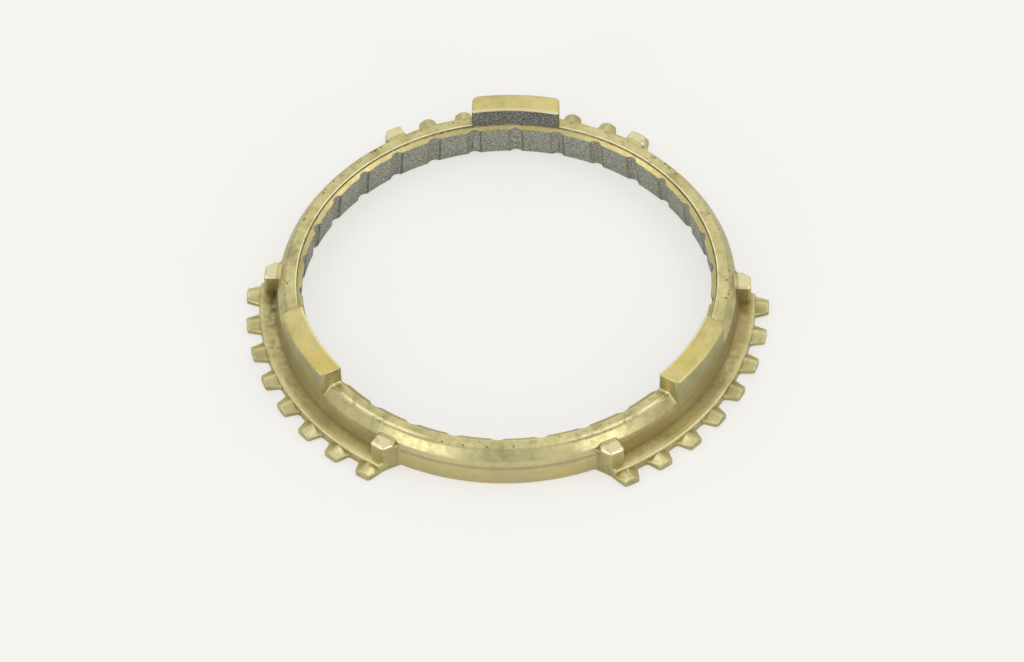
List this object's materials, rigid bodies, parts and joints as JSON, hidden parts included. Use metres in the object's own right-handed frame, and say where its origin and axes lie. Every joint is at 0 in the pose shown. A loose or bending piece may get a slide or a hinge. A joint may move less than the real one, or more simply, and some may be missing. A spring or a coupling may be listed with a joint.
{
  "type": "synchronizer ring",
  "caption": "Brass blocking ring with a grooved friction cone, toothed flange sectors and raised lugs, for a gearbox synchronizer.",
  "frame": {"origin": "on the ring's axis, in the plane of the flat underside, where the large end of the cone opens", "axes": "+Z along the axis from the gear side to the hub side, where the lugs stand; +Y through the middle of one lug"},
  "size_m": [0.125, 0.1173, 0.0151],
  "materials": {
    "brass": "forged and turned brass, dull, with a grey sprayed friction coating in the cone"
  },
  "bodies": {
    "root": {"synchronizer_ring": "brass"}
  },
  "joints": []
}
